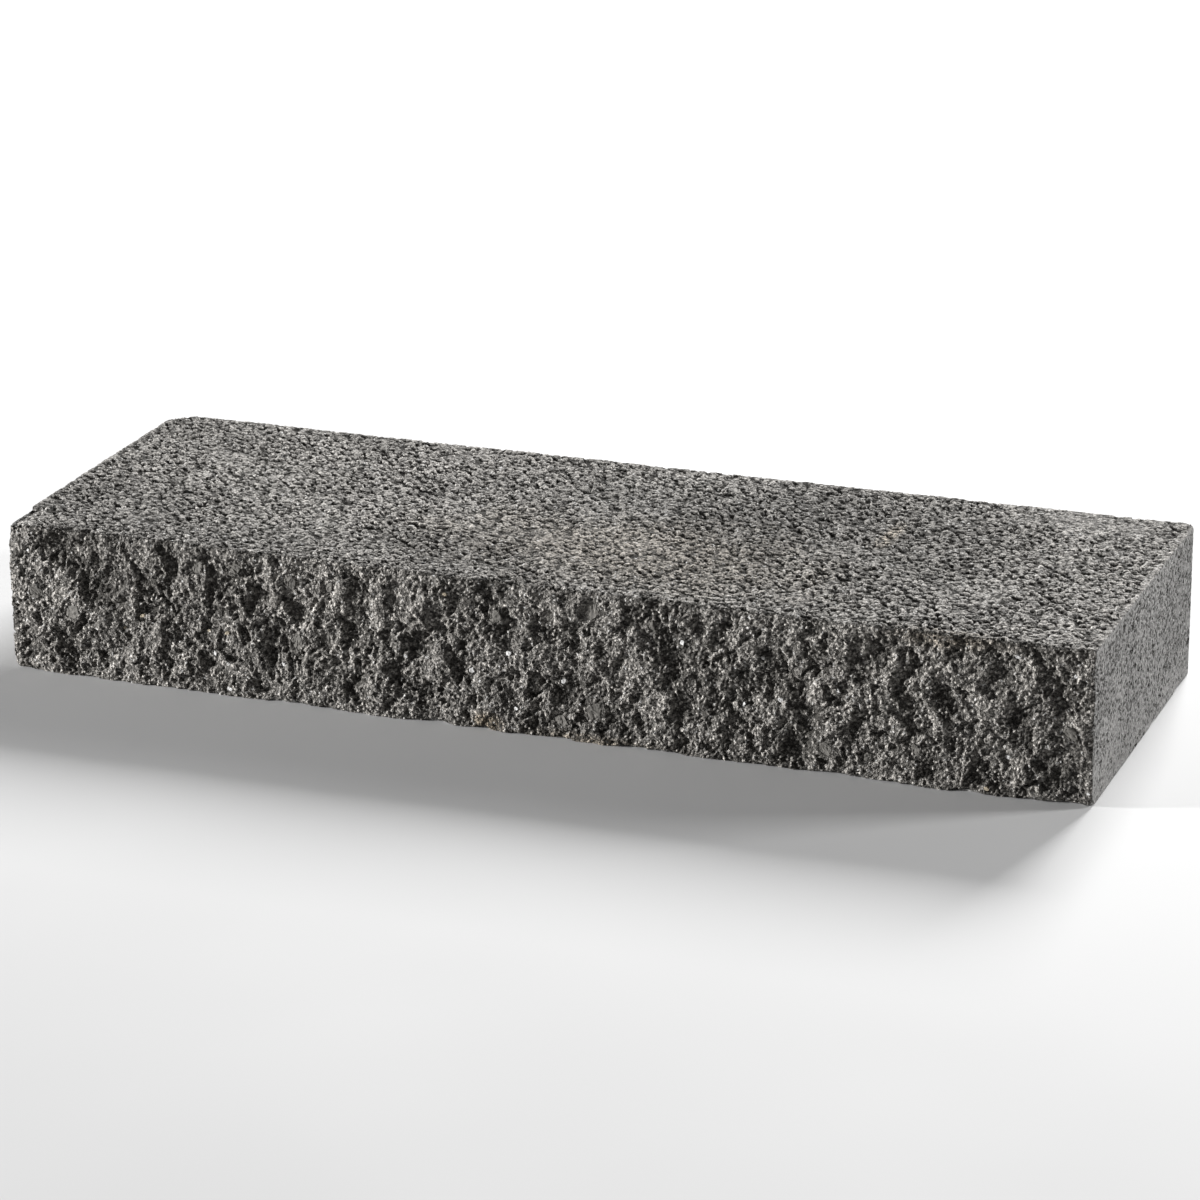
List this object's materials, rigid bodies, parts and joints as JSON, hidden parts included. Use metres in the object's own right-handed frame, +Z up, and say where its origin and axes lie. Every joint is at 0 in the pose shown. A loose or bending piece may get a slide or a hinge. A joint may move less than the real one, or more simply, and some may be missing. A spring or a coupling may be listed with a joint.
{
  "type": "split-face block step",
  "caption": "Long rectangular block of grey cast stone with one rough split face, a coarse open tread and moulded ends and back; laid flat as a garden step or a wall coping.",
  "frame": {"origin": "middle of the underside, at the centre of the block's bounding box", "axes": "+X along the block's length, +Y towards the moulded back (the split face looks towards -Y), +Z up towards the tread"},
  "size_m": [1, 0.35, 0.14],
  "materials": {
    "concrete": "rough",
    "dark_stone": "matte",
    "quartz": "satin",
    "buff_stone": "matte"
  },
  "bodies": {
    "root": {"concrete_body": "concrete", "dark_chippings": "dark_stone", "quartz_pebbles": "quartz", "buff_pebbles": "buff_stone"}
  },
  "joints": []
}
